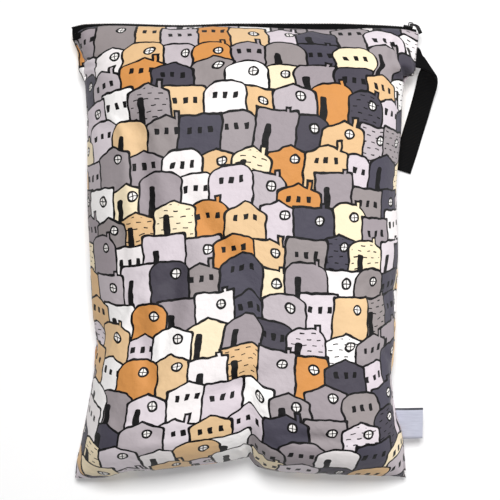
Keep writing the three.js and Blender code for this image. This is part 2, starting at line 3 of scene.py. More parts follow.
import bmesh
import bpy
import numpy as np
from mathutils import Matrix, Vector


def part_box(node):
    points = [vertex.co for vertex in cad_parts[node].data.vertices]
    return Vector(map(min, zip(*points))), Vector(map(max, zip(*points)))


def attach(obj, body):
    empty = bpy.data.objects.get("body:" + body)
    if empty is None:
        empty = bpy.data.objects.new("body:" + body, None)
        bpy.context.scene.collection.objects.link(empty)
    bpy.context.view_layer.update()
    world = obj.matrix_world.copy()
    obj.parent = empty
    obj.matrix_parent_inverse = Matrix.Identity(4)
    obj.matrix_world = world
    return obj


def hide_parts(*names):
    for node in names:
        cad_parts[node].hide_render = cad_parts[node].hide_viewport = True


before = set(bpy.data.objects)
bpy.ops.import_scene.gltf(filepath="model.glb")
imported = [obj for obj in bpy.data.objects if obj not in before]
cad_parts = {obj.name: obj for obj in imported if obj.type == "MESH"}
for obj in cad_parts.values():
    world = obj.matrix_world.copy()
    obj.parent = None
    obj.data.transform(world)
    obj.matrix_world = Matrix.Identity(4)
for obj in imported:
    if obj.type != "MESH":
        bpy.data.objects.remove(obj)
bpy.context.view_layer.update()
scene = bpy.context.scene


# The bag's form. Two panels of printed cloth, sewn together along the sides and the bottom and to the
# zipper along the top, stand full of folded diapers. The bag lies on its back panel, on a flat surface.

bag_width = 0.330
bag_length = 0.4195
front_rise = 0.093
seam_rise = 0.037
zipper_rise = 0.025
zipper_stand_out = 0.0054
back_drop = 0.056
settle_band = 0.005
wedge_length = 0.078
bottom_round = 0.044
side_fullness = 5.5
side_roundness = 0.7
cloth_wall = 0.0012
seam_gap = 0.0003
nose_half = 0.008
nose_half_end = 0.005
nose_taper = 0.016
nose_depth = 0.004
opening_ramp = 0.005
strap_up = 0.9455
webbing_width = 0.019
webbing_wall = 0.0014
webbing_slit = 0.0003
label_up = 0.1243
label_width = 0.029
label_wall = 0.0006
label_slit = 0.0004
flat_width = 0.330
flat_length = 0.457

# up is the share of the length from the bottom corner, left and right are shares of the width from the
# middle line, rise is a share of the seam's rise.
side_rows = {
    "up": [0.0, 0.034, 0.095, 0.176, 0.264, 0.32, 0.397, 0.508, 0.641,
           0.786, 0.872, 0.894, 0.914, 0.947, 0.972, 0.985, 1.0],
    "left": [0.476, 0.4715, 0.4558, 0.436, 0.421, 0.415, 0.423, 0.4306, 0.437,
             0.437, 0.44, 0.449, 0.4595, 0.4645, 0.479, 0.486, 0.487],
    "right": [0.461, 0.4585, 0.4515, 0.431, 0.4225, 0.425, 0.425, 0.4345, 0.431,
              0.444, 0.448, 0.4565, 0.483, 0.487, 0.491, 0.4925, 0.494],
    "rise": [0.36, 0.45, 0.68, 0.9, 1.0, 1.0, 0.97, 1.0, 1.0,
             0.95, 0.86, 0.82, 0.78, 0.73, 0.68, 0.66, 0.64],
}

# across runs from the left to the right corner, lift is a share of the length.
bottom_rows = {
    "across": [0.0, 0.084, 0.162, 0.256, 0.353, 0.449, 0.523,
               0.555, 0.594, 0.652, 0.76, 0.869, 0.938, 1.0],
    "lift": [0.001, 0.0036, 0.0155, 0.0215, 0.032, 0.0425, 0.0535,
             0.033, 0.023, 0.0174, 0.013, 0.0105, 0.006, 0.003],
    "rise": [0.36, 0.5, 0.64, 0.74, 0.8, 0.84, 0.86,
             0.82, 0.8, 0.77, 0.7, 0.56, 0.44, 0.36],
}

# drop is how far the coil's tip lies below its highest stretch, front and back how far the panels' edges
# stand back from the tip, as shares of the nose's depth.
zipper_rows = {
    "across": [0.0, 0.045, 0.12, 0.32, 0.47, 0.75, 0.88, 0.955, 1.0],
    "drop": [0.0085, 0.0012, 0.0, 0.0035, 0.0, 0.0, 0.003, 0.0065, 0.0135],
    "front": [1.6, 1.2, 0.75, 0.65, 0.85, 1.6, 1.0, 0.9, 0.9],
    "back": [1.3, 0.9, 1.1, 1.3, 1.1, 0.6, 1.0, 0.9, 0.9],
}

# Folds and dents of the front: across, up, angle from +X, length and width as shares of the bag's width,
# depth as a share of the front's rise, negative for a bulge.
front_folds = [
    (0.925, 0.905, 104, 0.07, 0.03, 0.05),
    (0.075, 0.912, 4, 0.07, 0.013, 0.04),
    (0.05, 0.882, 60, 0.05, 0.03, -0.03),
    (0.165, 0.295, 97, 0.17, 0.04, 0.085),
    (0.2, 0.47, 80, 0.2, 0.09, 0.05),
    (0.72, 0.085, 2, 0.13, 0.026, 0.06),
    (0.545, 0.03, 100, 0.08, 0.022, 0.07),
    (0.93, 0.42, 84, 0.22, 0.028, 0.04),
    (0.6, 0.55, 60, 0.4, 0.22, -0.035),
    (0.42, 0.8, 8, 0.3, 0.07, 0.03),
]


def mix(a, b, share):
    return a + (b - a) * share


def smooth(share):
    held = np.clip(share, 0.0, 1.0)
    return held * held * (3.0 - 2.0 * held)


def curve_between(a, b, leaving, arriving, share):
    """A smooth curve from a to b, by its slope at each end times the span between them."""
    line = mix(a, b, share * share * (3.0 - 2.0 * share))
    return line + leaving * share * (1.0 - share) ** 2 - arriving * share**2 * (1.0 - share)


def table_at(rows, key_name, column_name, at):
    """A smooth curve through one column of a table, without overshoot."""
    keys = np.array(rows[key_name])
    values = np.array(rows[column_name])
    chords = np.diff(values) / np.diff(keys)
    before = np.concatenate([chords[:1], chords])
    after = np.concatenate([chords, chords[-1:]])
    same_way = before * after > 0.0
    total = np.where(same_way, before + after, 1.0)
    slopes = np.where(same_way, 2.0 * before * after / total, 0.0)
    i = np.clip(np.searchsorted(keys, at, side="left") - 1, 0, len(keys) - 2)
    span = keys[i + 1] - keys[i]
    share = np.clip((at - keys[i]) / span, 0.0, 1.0)
    return curve_between(values[i], values[i + 1], span * slopes[i], span * slopes[i + 1], share)


bottom_y = -(bag_length + zipper_stand_out) / 2.0
tip_y = bottom_y + bag_length + zipper_stand_out
strap_half = webbing_wall + webbing_slit / 2.0 + seam_gap
label_half = label_wall + label_slit / 2.0 + 1.5 * seam_gap


def coil_tip(across):
    return tip_y - table_at(zipper_rows, "across", "drop", across) * bag_length


def panel_top(face, across):
    return coil_tip(across) - table_at(zipper_rows, "across", face, across) * nose_depth


def beside_sewn_piece(up, middle, width, half):
    outside = np.abs(up - middle) * bag_length - width / 2.0 - seam_gap
    return mix(half, seam_gap / 2.0, smooth(outside / opening_ramp))


def seam_opening(side, up):
    """Half the distance between the two panels along a side seam."""
    opening = mix(nose_half_end, seam_gap / 2.0, smooth((1.0 - up) * bag_length / nose_taper))
    if side == "left":
        return opening
    at_strap = beside_sewn_piece(up, strap_up, webbing_width, strap_half)
    at_label = beside_sewn_piece(up, label_up, label_width, label_half)
    return np.maximum(opening, np.maximum(at_strap, at_label))


def nose_half_at(across):
    from_end = np.minimum(across, 1.0 - across) * bag_width
    return mix(nose_half_end, nose_half, smooth(from_end / nose_taper))


def patch(s, t, left, right, bottom, top):
    """A patch stretched between four edge curves."""
    ruled_across = mix(left(t), right(t), s)
    ruled_up = mix(bottom(s), top(s), t)
    corners = mix(mix(bottom(0.0), bottom(1.0), s), mix(top(0.0), top(1.0), s), t)
    return ruled_across + ruled_up - corners


def left_x(t):
    return -table_at(side_rows, "up", "left", t) * bag_width


def right_x(t):
    return table_at(side_rows, "up", "right", t) * bag_width


def plan_x(s, t):
    def end(up):
        return lambda across: mix(left_x(up), right_x(up), across)

    return patch(s, t, left_x, right_x, end(0.0), end(1.0))


def plan_y(face, s, t):
    def bottom(across):
        return bottom_y + table_at(bottom_rows, "across", "lift", across) * bag_length

    def top(across):
        return panel_top(face, across)

    def side(across):
        return lambda up: mix(bottom(across), top(across), up)

    return patch(s, t, side(0.0), side(1.0), bottom, top)


def seam_height(up):
    return table_at(side_rows, "up", "rise", up) * seam_rise


def edge_height(face, s, t):
    """Height of the seam line and of the zipper edge, stretched over the plan."""
    way = 1.0 if face == "front" else -1.0

    def seam(side):
        return lambda up: seam_height(up) + way * seam_opening(side, up)

    def bottom(across):
        return table_at(bottom_rows, "across", "rise", across) * seam_rise + way * seam_gap / 2.0

    def top(across):
        middle = smooth(np.minimum(across, 1.0 - across) * 4.0)
        return mix(seam_height(1.0), zipper_rise, middle) + way * nose_half_at(across)

    return patch(s, t, seam("left"), seam("right"), bottom, top)


def fullness(s, t):
    """0 on the seams, 1 where the bag is fullest."""
    sideways = (1.0 - np.abs(2.0 * s - 1.0) ** side_fullness) ** side_roundness
    from_top = np.clip((1.0 - t) * bag_length / wedge_length, 0.0, 1.0)
    from_bottom = np.clip(t * bag_length / bottom_round, 0.0, 1.0)
    wedge = np.sin(np.pi / 2.0 * from_top) ** 0.75
    rounded = np.sin(np.pi / 2.0 * from_bottom) ** 0.5
    return sideways * wedge * rounded


def in_fold(dx, dy, angle, length, width):
    """How far along and over a fold a place lies, in the fold's lengths and widths."""
    turn = math.radians(angle)
    along = (dx * math.cos(turn) + dy * math.sin(turn)) / length
    over = (dy * math.cos(turn) - dx * math.sin(turn)) / width
    return along, over


def fold_depth(x, y):
    depth = np.zeros_like(x)
    for across, up, angle, length, width, share in front_folds:
        dx = x - plan_x(across, up)
        dy = y - plan_y("front", across, up)
        along, over = in_fold(dx, dy, angle, length * bag_width, width * bag_width)
        depth += share * front_rise * np.exp(-along * along - over * over)
    return depth


def settled(height):
    """Cloth that would go below the surface lies flat on it."""
    bent = (height + settle_band) ** 2 / (4.0 * settle_band)
    return np.where(height >= settle_band, height, np.where(height <= -settle_band, 0.0, bent))


def panel_points(face, s, t):
    x = plan_x(s, t)
    y = plan_y(face, s, t)
    edge = edge_height(face, s, t)
    full = fullness(s, t)
    if face == "back":
        return np.stack([x, y, settled(edge - back_drop * full)], axis=-1)
    folded = fold_depth(x, y) * smooth(full / 0.3)
    return np.stack([x, y, edge + (front_rise - edge) * full - folded], axis=-1)


def unit(vectors):
    return vectors / np.maximum(np.linalg.norm(vectors, axis=-1, keepdims=True), 1e-12)


def outward(grid, face):
    """Normals of a grid of points, pointing out of the bag."""
    normals = unit(np.cross(np.gradient(grid, axis=1), np.gradient(grid, axis=0)))
    return normals if face == "front" else -normals


def crowded(count, crowding):
    """Stations from 0 to 1 that stand closer together towards both ends."""
    even = np.linspace(0.0, 1.0, count + 1)
    return mix(even, (1.0 - np.cos(np.pi * even)) / 2.0, crowding)


# The panels' mesh. Each panel is a thin wall of cloth with its own seam edges. It carries the form above,
# the puckers that a sewn seam gives, and the slack that a simulation of the flat cut shakes out.

panel_columns = 144
panel_rows = 192
crowding_across = 0.55
crowding_up = 0.5
pucker_depth = 0.0011
pucker_reach = 0.028
pucker_start = 0.004
smooth_below = 0.002
smooth_fade = 0.008
ridge_away = 1.6
ridge_share = 0.45
roll_from = 0.87
roll_grown = 0.05
roll_width = 0.0046
roll_reach = 0.014
roll_lip = 0.0035
roll_swell_at = 0.010
roll_swell = 0.007

# Where on the printed cloth each panel was cut.
cut_from = {"front": (0.0, 0.0), "back": (0.71, 0.29)}

# Fine creases: x, y, angle, half length, half width and depth in metres.
fine_creases = [
    (-0.143, 0.1775, 3, 0.016, 0.0022, 0.0014),
    (-0.139, 0.1705, -6, 0.013, 0.002, 0.0011),
    (-0.146, 0.162, 12, 0.010, 0.0024, 0.0012),
    (0.1455, 0.176, 114, 0.019, 0.0036, 0.0042),
    (0.150, 0.163, 100, 0.014, 0.003, 0.0032),
    (0.133, 0.186, 70, 0.014, 0.0036, 0.0016),
    (0.006, -0.186, 118, 0.014, 0.0026, 0.0022),
    (0.017, -0.189, 76, 0.012, 0.0024, 0.0016),
    (-0.112, 0.03, 94, 0.05, 0.006, 0.0012),
    (0.118, -0.03, 86, 0.045, 0.005, 0.0012),
    (0.06, -0.168, 176, 0.035, 0.005, 0.0012),
    (-0.07, -0.166, 8, 0.04, 0.006, 0.0010),
    (-0.066, -0.055, 78, 0.060, 0.011, 0.0038),
    (-0.030, 0.020, 125, 0.050, 0.010, 0.0028),
    (0.050, 0.050, 60, 0.060, 0.012, 0.0022),
    (-0.090, 0.070, 100, 0.050, 0.010, 0.0030),
    (0.075, -0.090, 80, 0.050, 0.011, 0.0028),
    (0.000, -0.120, 20, 0.050, 0.010, 0.0026),
]


def steps_along(grid, axis=0):
    """The distance from each point of a grid to the next."""
    return np.linalg.norm(np.diff(grid, axis=axis), axis=-1)


def flat_places(grid):
    """Each point's place on the flat cut, from the lengths along the cloth."""
    across = np.cumsum(np.pad(steps_along(grid, 1), ((0, 0), (1, 0))), axis=1)
    up = np.cumsum(np.pad(steps_along(grid), ((1, 0), (0, 0))), axis=0)
    u = (across / across[:, -1:] - 0.5) * flat_width
    v = up / up[-1:, :] * flat_length
    return np.stack([u, v], axis=-1)


def seam_wave(along, phase):
    """The uneven wave of a puckered seam, by its place along the seam in metres."""
    drift = np.sin(2.0 * np.pi * along / 0.11 + phase)
    waves = np.sin(2.0 * np.pi * along / 0.027 + 1.7 * drift + phase)
    waves += 0.7 * np.sin(2.0 * np.pi * along / 0.0175 - 1.1 * drift + 2.3 * phase)
    waves += 0.35 * np.sin(2.0 * np.pi * along / 0.0118 + 3.1 * phase)
    return waves * (0.65 + 0.35 * drift) / 2.0


def puckers(flat, phase):
    """Height of the seam puckers over the panel."""
    u = flat[..., 0]
    v = flat[..., 1]
    total = np.zeros_like(u)
    seams = [
        (u + flat_width / 2.0, v, 0.4, 1.0),
        (flat_width / 2.0 - u, v, 2.1, 1.0),
        (v, u, 3.7, 1.15),
        (flat_length - v, u, 5.2, 0.8),
    ]
    for distance, along, own_phase, share in seams:
        grown = 1.0 - np.exp(-((distance / pucker_start) ** 2))
        fading = np.exp(-distance / pucker_reach)
        total += share * grown * fading * seam_wave(along, own_phase + phase)
    return total * pucker_depth


def creases(grid):
    """Depth of the fine creases at each point."""
    depth = np.zeros(grid.shape[:2])
    for x, y, angle, half_length, half_width, deep in fine_creases:
        along, over = in_fold(grid[..., 0] - x, grid[..., 1] - y, angle, half_length, half_width)
        ridge = np.exp(-((np.abs(over) - ridge_away) ** 2)) * ridge_share
        depth += deep * np.exp(-along * along) * (np.exp(-over * over) - ridge)
    return depth


def corner_roll(face, flat, up):
    """At the top left corner the cloth rolls to the front, so a strip of the back shows beside the seam."""
    from_seam = flat[..., 0] + flat_width / 2.0
    near = smooth((up - roll_from) / roll_grown)
    if face == "front":
        return roll_width * near * np.exp(-((from_seam / roll_reach) ** 2))
    lip = np.exp(-((from_seam / roll_lip) ** 2))
    swell = np.exp(-(((from_seam - roll_swell_at) / roll_swell) ** 2))
    return roll_width * near * (lip - swell)


def grid_faces(number):
    """The four-sided faces between a grid's numbered points."""
    corners = [number[:-1, :-1], number[:-1, 1:], number[1:, 1:], number[1:, :-1]]
    return np.stack(corners, axis=-1).reshape(-1, 4)


def new_object(name, data):
    made = bpy.data.objects.new(name, data)
    scene.collection.objects.link(made)
    return made


def cloth_shell(name, outer, inner, flat, faces_up):
    """A closed wall between two grids of points, with the flat cloth's places in metres as its UV map."""
    height, width = outer.shape[:2]
    number = np.arange(height * width).reshape(height, width)
    top_faces = grid_faces(number)
    inner_faces = top_faces[:, ::-1] + height * width
    edge = np.concatenate([number[0, :], number[1:, -1], number[-1, -2::-1], number[-2:0:-1, 0]])
    edge_under = edge + height * width
    turned = np.roll(edge, -1)
    turned_under = np.roll(edge_under, -1)
    rim_faces = np.stack([edge, edge_under, turned_under, turned], axis=-1)
    faces = np.concatenate([top_faces, inner_faces, rim_faces])
    if not faces_up:
        faces = faces[:, ::-1]
    points = np.concatenate([outer.reshape(-1, 3), inner.reshape(-1, 3)])
    mesh = bpy.data.meshes.new(name)
    mesh.from_pydata(points.tolist(), [], faces.tolist())
    mesh.polygons.foreach_set("use_smooth", [True] * len(mesh.polygons))
    places = np.concatenate([flat.reshape(-1, 2), flat.reshape(-1, 2)])
    uv_map = mesh.uv_layers.new(name="flat_cloth")
    uv_map.data.foreach_set("uv", places[faces.reshape(-1)].astype(np.float32).reshape(-1))
    mesh.update()
    return new_object(name, mesh)


def panel_inside(grid, face):
    """The wall's inner grid: level with the outer one on a seam, where the panels' rims meet flat."""
    inner = grid - outward(grid, face) * cloth_wall
    inner[0, :] = grid[0, :] + [0.0, cloth_wall, 0.0]
    for column, way in ((0, 1.0), (-1, -1.0)):
        inner[:, column] = grid[:, column] + [way * cloth_wall, 0.0, 0.0]
        inner[0, column] = grid[0, column] + [way * cloth_wall, cloth_wall, 0.0]
        inner[-1, column] = grid[-1, column] + [way * cloth_wall, -cloth_wall, 0.0]
    return inner


# The slack. The two flat cuts are larger than the seams that hold them, so the cloth buckles beside the
# seams. A cloth simulation of both cuts, sewn together and pressed out, gives these soft wrinkles.

slack_columns = 64
slack_rows = 88
slack_gain = 1.3
slack_limit = 0.0055
slack_frames = 22
broad_reach = 7
broad_share = 0.9
seam_fade = 5.0
touching = 0.0008
cut_lift = 0.0004
usual_length = 0.8


def joined_cuts():
    """Both panels as one mesh, sewn at the sides and the bottom, with their flat sizes as a rest shape."""
    s, t = np.meshgrid(crowded(slack_columns, crowding_across), crowded(slack_rows, crowding_up))
    formed = {face: panel_points(face, s, t) for face in ("front", "back")}
    front_number = np.arange(s.size).reshape(s.shape)
    back_number = front_number.copy()
    own = back_number[1:, 1:-1]
    own[:] = s.size + np.arange(own.size).reshape(own.shape)
    sewn = (formed["front"] + formed["back"]) / 2.0
    start = formed["front"].copy()
    start[0] = sewn[0]
    start[:-1, 0] = sewn[:-1, 0]
    start[:-1, -1] = sewn[:-1, -1]
    points = np.concatenate([start.reshape(-1, 3), formed["back"][1:, 1:-1].reshape(-1, 3)])
    faces = []
    for number, order in ((front_number, 1), (back_number, -1)):
        faces.append(grid_faces(number)[:, ::order])
    mesh = bpy.data.meshes.new("joined_cuts")
    mesh.from_pydata(points.tolist(), [], np.concatenate(faces).tolist())
    cuts = new_object("joined_cuts", mesh)
    flats = []
    for face, height in (("front", cut_lift), ("back", -cut_lift)):
        places = flat_places(formed[face])
        across = steps_along(formed[face], 1).sum(axis=1)
        up = steps_along(formed[face]).sum(axis=0)
        places[..., 0] *= np.quantile(across, usual_length) / flat_width
        places[..., 1] *= np.quantile(up, usual_length) / flat_length
        flats.append(np.concatenate([places, np.full(s.shape + (1,), height)], axis=-1))
    rest = np.concatenate([flats[0].reshape(-1, 3), flats[1][1:, 1:-1].reshape(-1, 3)])
    cuts.shape_key_add(name="Basis")
    cuts.shape_key_add(name="flat").data.foreach_set("co", rest.reshape(-1))
    held = cuts.vertex_groups.new(name="held")
    on_zipper = np.concatenate([front_number[-1], back_number[-1]])
    on_floor = np.flatnonzero(points[:, 2] < touching)
    held.add(np.unique(np.concatenate([on_zipper, on_floor])).tolist(), 1.0, "REPLACE")
    return cuts, points, front_number, back_number


def blurred(values, reach):
    """Values smoothed over a grid, with the edge values carried on outside it."""
    taps = np.exp(-((np.arange(-2 * reach, 2 * reach + 1) / reach) ** 2))
    taps /= taps.sum()
    padded = np.pad(values, ((2 * reach, 2 * reach), (2 * reach, 2 * reach), (0, 0)), mode="edge")
    rows = sum(tap * padded[i : i + values.shape[0]] for i, tap in enumerate(taps))
    return sum(tap * rows[:, i : i + values.shape[1]] for i, tap in enumerate(taps))


def finer(values, count):
    """Rows of a grid carried over to more rows by a smooth curve."""
    last = len(values) - 1
    at = np.linspace(0.0, last, count)
    i = np.clip(np.floor(at).astype(int), 0, last - 1)
    f = (at - i)[:, None, None]
    before, here, after, later = (values[np.clip(i + k, 0, last)] for k in (-1, 0, 1, 2))
    bend = 2.0 * before - 5.0 * here + 4.0 * after - later
    turn = 3.0 * (here - after) + later - before
    return here + 0.5 * f * (after - before + f * (bend + f * turn))


def meet_on_seams(front, back):
    """Gives both panels the same move along the seams that join them, fading into each panel."""
    down = np.exp(-np.arange(front.shape[0]) / seam_fade)[:, None, None]
    across = np.exp(-np.arange(front.shape[1]) / seam_fade)[None, :, None]
    seams = [
        (np.s_[:, :1], across),
        (np.s_[:, -1:], across[:, ::-1]),
        (np.s_[:1, :], down),
    ]
    for seam, fade in seams:
        both = (front[seam] + back[seam]) / 2.0
        front += fade * (both - front[seam])
        back += fade * (both - back[seam])


def cloth_slack():
    """How far the simulation moves each panel's points, without its broad changes of form."""
    cuts, start, front_number, back_number = joined_cuts()
    cloth = cuts.modifiers.new("slack", "CLOTH")
    settings = cloth.settings
    settings.quality = 6
    settings.mass = 0.12
    settings.tension_stiffness = 45.0
    settings.compression_stiffness = 45.0
    settings.shear_stiffness = 12.0
    settings.bending_model = "ANGULAR"
    settings.bending_stiffness = 0.08
    settings.air_damping = 2.0
    settings.effector_weights.gravity = 0.0
    settings.use_pressure = True
    settings.uniform_pressure_force = 2.5
    settings.vertex_group_mass = "held"
    settings.rest_shape_key = cuts.data.shape_keys.key_blocks["flat"]
    cloth.point_cache.frame_start = 1
    cloth.point_cache.frame_end = slack_frames
    for number in range(1, slack_frames + 1):
        scene.frame_set(number)
    evaluated = cuts.evaluated_get(bpy.context.evaluated_depsgraph_get())
    moved = np.empty(len(start) * 3, np.float32)
    evaluated.data.vertices.foreach_get("co", moved)
    shift = moved.reshape(-1, 3) - start
    bpy.data.objects.remove(cuts)
    scene.frame_set(1)
    fields = []
    for number in (front_number, back_number):
        field = shift[number]
        field = (field - broad_share * blurred(field, broad_reach)) * slack_gain
        far = np.linalg.norm(field, axis=-1, keepdims=True)
        fields.append(field * np.tanh(far / slack_limit) * slack_limit / np.maximum(far, 1e-9))
    meet_on_seams(*fields)
    slack = {}
    for face, field in zip(("front", "back"), fields):
        field = finer(field, panel_rows + 1).transpose(1, 0, 2)
        slack[face] = finer(field, panel_columns + 1).transpose(1, 0, 2)
    return slack


slack = cloth_slack()
panel_s, panel_t = np.meshgrid(
    crowded(panel_columns, crowding_across), crowded(panel_rows, crowding_up)
)
panels = {}
for face, phase in (("front", 0.0), ("back", 1.3)):
    grid = panel_points(face, panel_s, panel_t)
    flat = flat_places(grid)
    if slack is not None:
        grid = grid + slack[face]
    grid[..., 0] += corner_roll(face, flat, panel_t)
    lift = puckers(flat, phase)
    if face == "front":
        lift = lift - creases(grid)
    else:
        lift = lift * smooth((grid[..., 2] - smooth_below) / smooth_fade)
    grid = grid + outward(grid, face) * lift[..., None]
    grid[..., 2] = np.maximum(grid[..., 2], 0.0)
    inside = panel_inside(grid, face)
    panels[face] = cloth_shell(face + "_cloth", grid, inside, flat + cut_from[face], face == "front")


# The print. Smooth woven polyester with rows of little overlapping houses printed on it, in greys, tans,
# cream and white with a fine black outline. It is drawn in the flat cloth's own places, and its lengths
# are in print units of 1.18 mm.

print_unit = 0.00118
row_height = 22.0
column_width = 26.0
outline_width = 1.75
out_of_sight = 50.0


def linear(hex_value):
    """An sRGB hex colour as Blender's linear colour."""
    channels = [int(hex_value[i : i + 2], 16) / 255.0 for i in (1, 3, 5)]
    return [c / 12.92 if c <= 0.04045 else ((c + 0.055) / 1.055) ** 2.4 for c in channels] + [1.0]


def set_inputs(node, inputs):
    """Gives each socket its number or colour, or links it from an output."""
    for socket, value in inputs.items():
        if isinstance(value, bpy.types.NodeSocket):
            node.id_data.links.new(value, node.inputs[socket])
        else:
            node.inputs[socket].default_value = value


def add_node(tree, kind, inputs=None, **settings):
    node = tree.nodes.new(kind)
    for name, value in settings.items():
        setattr(node, name, value)
    set_inputs(node, inputs or {})
    return node


def new_material(name):
    """A material, its tree, and the surface shader that is linked to its output."""
    material = bpy.data.materials.new(name)
    material.use_nodes = True
    tree = material.node_tree
    tree.nodes.clear()
    surface = add_node(tree, "ShaderNodeBsdfPrincipled")
    add_node(tree, "ShaderNodeOutputMaterial", {"Surface": surface.outputs[0]})
    return material, tree, surface


print_colours = [
    "#978e8e", "#d9ced5", "#e3bc8c", "#4b4855", "#fdfaf9", "#c0b6bb", "#f8e7c5",
    "#a0979a", "#d5924f", "#e0d6dc", "#a0969b", "#e6c396", "#48444f", "#f4eeee",
]

house = bpy.data.node_groups.new("house_layer", "ShaderNodeTree")
for name, kind, way in (
    ("Place", "NodeSocketVector", "INPUT"),
    ("Row shift", "NodeSocketFloat", "INPUT"),
    ("Parity", "NodeSocketFloat", "INPUT"),
    ("Behind", "NodeSocketColor", "INPUT"),
    ("Colour", "NodeSocketColor", "OUTPUT"),
):
    house.interface.new_socket(name=name, in_out=way, socket_type=kind)
house_in = add_node(house, "NodeGroupInput")
house_place = add_node(house, "ShaderNodeSeparateXYZ", {0: house_in.outputs["Place"]})
row_random = add_node(house, "ShaderNodeTexWhiteNoise", noise_dimensions="1D")
found = {
    "x": house_place.outputs["X"],
    "y": house_place.outputs["Y"],
    "shift": house_in.outputs["Row shift"],
    "parity": house_in.outputs["Parity"],
    "row random": row_random.outputs["Value"],
}

# Nine chances for each house. Its row and column come out of the steps below and are linked after them.
cells = []
for number in range(3):
    cell = add_node(house, "ShaderNodeCombineXYZ", {"Z": 7.3 * number})
    chance = add_node(house, "ShaderNodeTexWhiteNoise", {"Vector": cell.outputs[0]}, noise_dimensions="3D")
    parts = add_node(house, "ShaderNodeSeparateColor", {0: chance.outputs["Color"]})
    for channel in range(3):
        found[f"chance {number * 3 + channel}"] = parts.outputs[channel]
    cells.append(cell)

